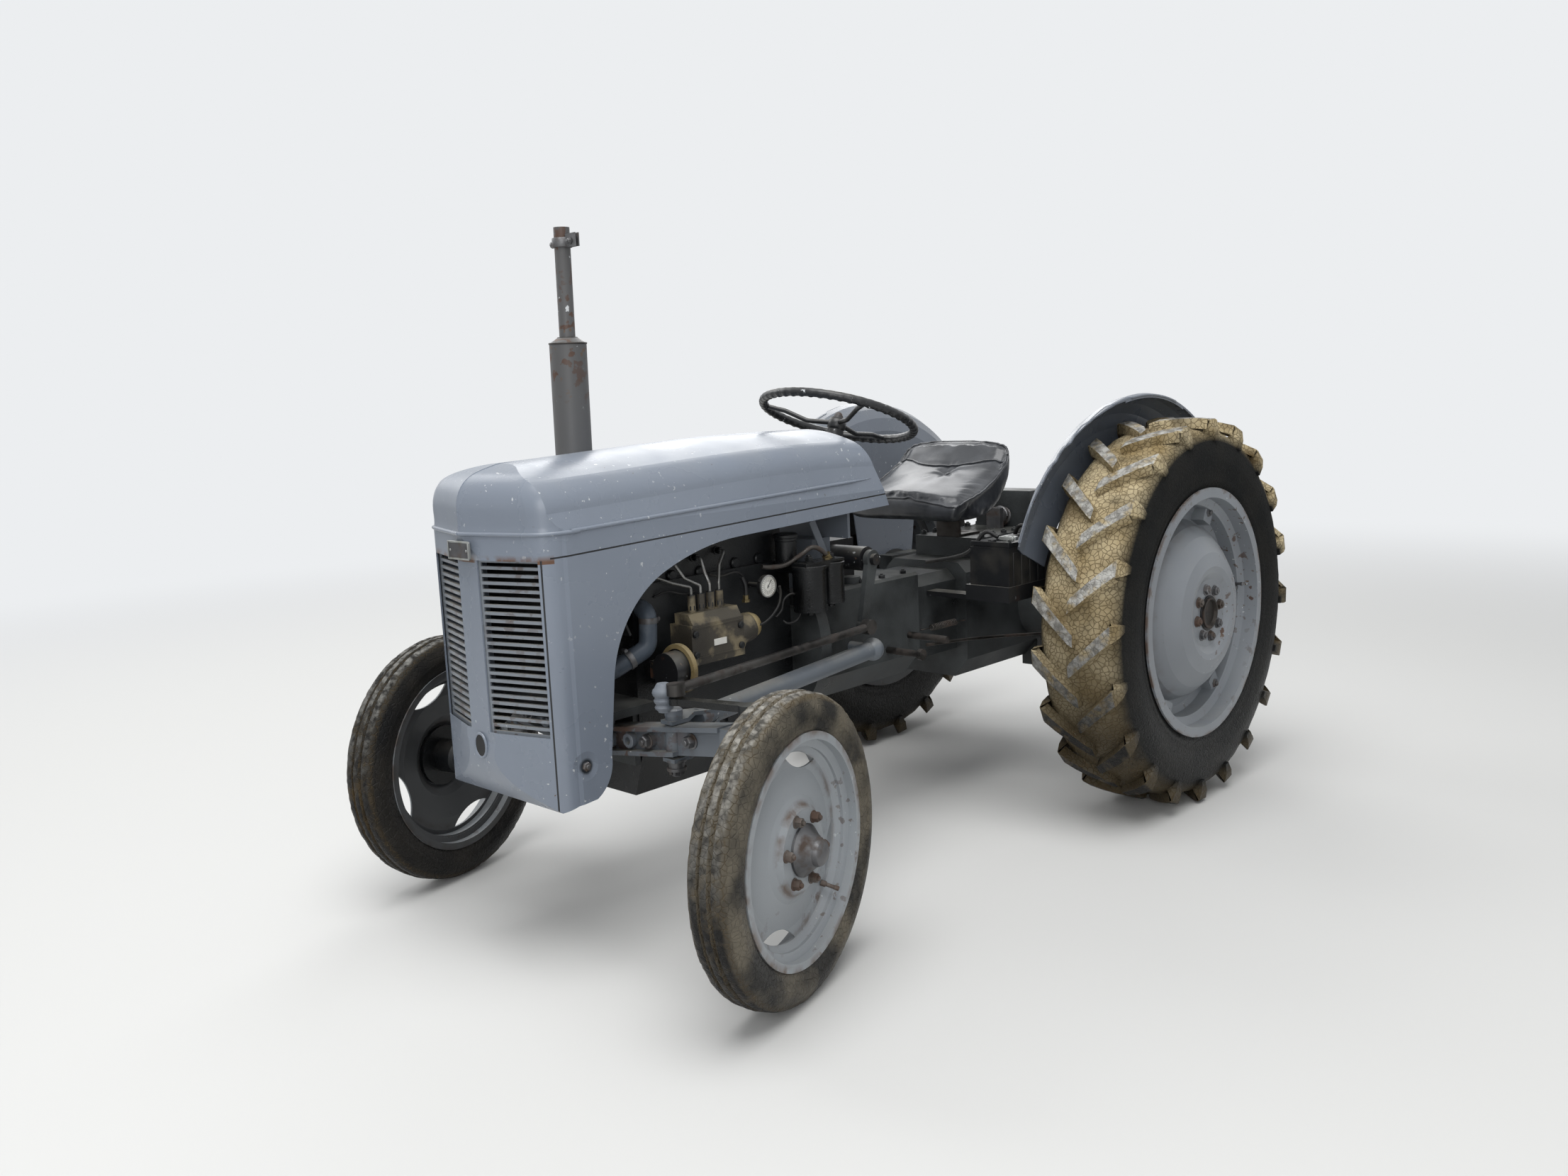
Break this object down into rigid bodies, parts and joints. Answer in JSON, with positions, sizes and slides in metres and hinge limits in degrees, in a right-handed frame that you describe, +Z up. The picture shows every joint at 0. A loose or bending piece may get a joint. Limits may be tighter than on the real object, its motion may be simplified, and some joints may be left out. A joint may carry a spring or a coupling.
{
  "type": "farm tractor",
  "caption": "Small two-wheel-drive farm tractor with an open diesel engine, steered front wheels, lugged rear tyres, a tilting bonnet and a three-point linkage.",
  "frame": {"origin": "on the ground, under the middle of the overall box", "axes": "+Z up, the tractor faces -Y, +X is its own left"},
  "size_m": [1.54, 2.9332, 1.7654],
  "materials": {
    "blue_grey_enamel": "semi-gloss",
    "oily_casting": "oily",
    "dark_cast_grey": "matt",
    "worn_ochre_paint": "chipped",
    "bare_steel": "worn",
    "rusty_steel": "rusty",
    "black_enamel": "gloss",
    "tyre_rubber": "muddy",
    "hose_rubber": "matt",
    "black_vinyl": "soft sheen",
    "black_battery_case": "matt"
  },
  "bodies": {
    "chassis": {"axle_beam": "blue_grey_enamel", "axle_arms": "blue_grey_enamel", "mudguards": "blue_grey_enamel", "radius_rods": "blue_grey_enamel", "fuel_tank": "blue_grey_enamel", "dash": "blue_grey_enamel", "gauge": "black_enamel", "radiator": "black_enamel", "steering_column": "black_enamel", "exhaust": "black_enamel", "front_support": "dark_cast_grey", "gearbox": "dark_cast_grey", "centre_housing": "dark_cast_grey", "lift_cover": "dark_cast_grey", "axle_trumpets": "dark_cast_grey", "rocker_cover": "dark_cast_grey", "engine_block": "oily_casting", "manifold": "oily_casting", "dynamo": "oily_casting", "fan": "oily_casting", "fuel_filters": "oily_casting", "injection_pump": "worn_ochre_paint", "water_hoses": "hose_rubber", "foot_controls": "rusty_steel", "battery_tray": "rusty_steel", "seat_bracket": "rusty_steel", "injector_pipes": "bare_steel", "control_spring": "bare_steel", "top_yoke": "bare_steel", "battery": "black_battery_case", "seat": "black_vinyl"},
    "bonnet_lid": {"bonnet": "blue_grey_enamel", "grille": "blue_grey_enamel"},
    "steering_wheel_body": {"steering_wheel": "black_enamel"},
    "lift_arm_pair": {"lift_arms": "bare_steel"},
    "power_shaft": {"drive_shaft": "bare_steel"},
    "left_knuckle": {"knuckle_left": "dark_cast_grey"},
    "left_front_wheel": {"front_hub_left": "rusty_steel", "front_wheel_left": "blue_grey_enamel", "front_tyre_left": "tyre_rubber"},
    "left_rear_wheel": {"rear_hub_left": "rusty_steel", "rear_wheel_left": "blue_grey_enamel", "rear_tyre_left": "tyre_rubber"},
    "left_drop_arm": {"drop_arm_left": "dark_cast_grey"},
    "left_drag_link": {"drag_link_left": "rusty_steel"},
    "left_lift_rod": {"lift_rod_left": "rusty_steel"},
    "left_lower_link": {"lower_link_left": "dark_cast_grey"},
    "right_knuckle": {"knuckle_right": "dark_cast_grey"},
    "right_front_wheel": {"front_hub_right": "rusty_steel", "front_wheel_right": "blue_grey_enamel", "front_tyre_right": "tyre_rubber"},
    "right_rear_wheel": {"rear_hub_right": "rusty_steel", "rear_wheel_right": "blue_grey_enamel", "rear_tyre_right": "tyre_rubber"},
    "right_drop_arm": {"drop_arm_right": "dark_cast_grey"},
    "right_drag_link": {"drag_link_right": "rusty_steel"},
    "right_lift_rod": {"lift_rod_right": "rusty_steel"},
    "right_lower_link": {"lower_link_right": "dark_cast_grey"}
  },
  "joints": [
    {"name": "steer_left", "type": "hinge", "parent": "chassis", "child": "left_knuckle", "pos_m": [0.557, -1.1094, 0.344], "axis": [0, 0, 1], "range_deg": [-54.4, 25.6]},
    {"name": "steer_right", "type": "hinge", "parent": "chassis", "child": "right_knuckle", "pos_m": [-0.557, -1.1094, 0.344], "axis": [0, 0, 1], "range_deg": [-54.4, 25.6]},
    {"name": "drop_arm_swing_left", "type": "hinge", "parent": "chassis", "child": "left_drop_arm", "pos_m": [0.238, -0.3004, 0.851], "axis": [1, 0, 0], "range_deg": [-25.6, 54.4]},
    {"name": "drag_link_swing_left", "type": "hinge", "parent": "left_drop_arm", "child": "left_drag_link", "pos_m": [0.238, -0.34666, 0.67084], "axis": [1, 0, 0], "range_deg": [-54.4, 25.6]},
    {"name": "drop_arm_swing_right", "type": "hinge", "parent": "chassis", "child": "right_drop_arm", "pos_m": [-0.238, -0.3004, 0.851], "axis": [1, 0, 0], "range_deg": [-54.4, 25.6]},
    {"name": "drag_link_swing_right", "type": "hinge", "parent": "right_drop_arm", "child": "right_drag_link", "pos_m": [-0.238, -0.25414, 0.67084], "axis": [1, 0, 0], "range_deg": [-25.6, 54.4]},
    {"name": "steering_wheel_turn", "type": "hinge", "parent": "chassis", "child": "steering_wheel_body", "pos_m": [0, -0.1454, 1.231], "axis": [0, 0.3486, 0.9373], "range_deg": [-652.8, 307.2]},
    {"name": "front_wheel_spin_left", "type": "hinge", "parent": "left_knuckle", "child": "left_front_wheel", "pos_m": [0.63836, -1.08851, 0.344], "axis": [0.9686, 0.2487, 0], "continuous": true},
    {"name": "rear_wheel_spin_left", "type": "hinge", "parent": "chassis", "child": "left_rear_wheel", "pos_m": [0.626, 0.6686, 0.594], "axis": [1, 0, 0], "continuous": true},
    {"name": "front_wheel_spin_right", "type": "hinge", "parent": "right_knuckle", "child": "right_front_wheel", "pos_m": [-0.63836, -1.13029, 0.344], "axis": [0.9686, 0.2487, 0], "continuous": true},
    {"name": "rear_wheel_spin_right", "type": "hinge", "parent": "chassis", "child": "right_rear_wheel", "pos_m": [-0.626, 0.6686, 0.594], "axis": [1, 0, 0], "continuous": true},
    {"name": "bonnet_tilt", "type": "hinge", "parent": "chassis", "child": "bonnet_lid", "pos_m": [0, -1.3074, 0.509], "axis": [1, 0, 0], "range_deg": [0, 60]},
    {"name": "lift_arms_raise", "type": "hinge", "parent": "chassis", "child": "lift_arm_pair", "pos_m": [0, 0.7406, 0.905], "axis": [1, 0, 0], "range_deg": [-25, 55]},
    {"name": "lower_link_raise_left", "type": "hinge", "parent": "chassis", "child": "left_lower_link", "pos_m": [0.245, 0.6906, 0.4], "axis": [1, 0, 0], "range_deg": [-16.75, 36.85]},
    {"name": "lift_rod_swing_left", "type": "hinge", "parent": "lift_arm_pair", "child": "left_lift_rod", "pos_m": [0.196, 0.9706, 0.83644], "axis": [1, 0, 0], "range_deg": [-60.5, 27.5]},
    {"name": "lower_link_raise_right", "type": "hinge", "parent": "chassis", "child": "right_lower_link", "pos_m": [-0.245, 0.6906, 0.4], "axis": [1, 0, 0], "range_deg": [-16.75, 36.85]},
    {"name": "lift_rod_swing_right", "type": "hinge", "parent": "lift_arm_pair", "child": "right_lift_rod", "pos_m": [-0.196, 0.9706, 0.83644], "axis": [1, 0, 0], "range_deg": [-60.5, 27.5]},
    {"name": "drive_shaft_spin", "type": "hinge", "parent": "chassis", "child": "power_shaft", "pos_m": [0, 0.8026, 0.548], "axis": [0, 1, 0], "continuous": true}
  ],
  "couplings": [
    {"joint": "steer_right", "follows": "steer_left", "ratio": 1},
    {"joint": "drop_arm_swing_left", "follows": "steer_left", "ratio": -1},
    {"joint": "drag_link_swing_left", "follows": "steer_left", "ratio": 1},
    {"joint": "drop_arm_swing_right", "follows": "steer_left", "ratio": 1},
    {"joint": "drag_link_swing_right", "follows": "steer_left", "ratio": -1},
    {"joint": "steering_wheel_turn", "follows": "steer_left", "ratio": 12},
    {"joint": "lower_link_raise_left", "follows": "lift_arms_raise", "ratio": 0.67},
    {"joint": "lift_rod_swing_left", "follows": "lift_arms_raise", "ratio": -1.1},
    {"joint": "lower_link_raise_right", "follows": "lift_arms_raise", "ratio": 0.67},
    {"joint": "lift_rod_swing_right", "follows": "lift_arms_raise", "ratio": -1.1}
  ]
}
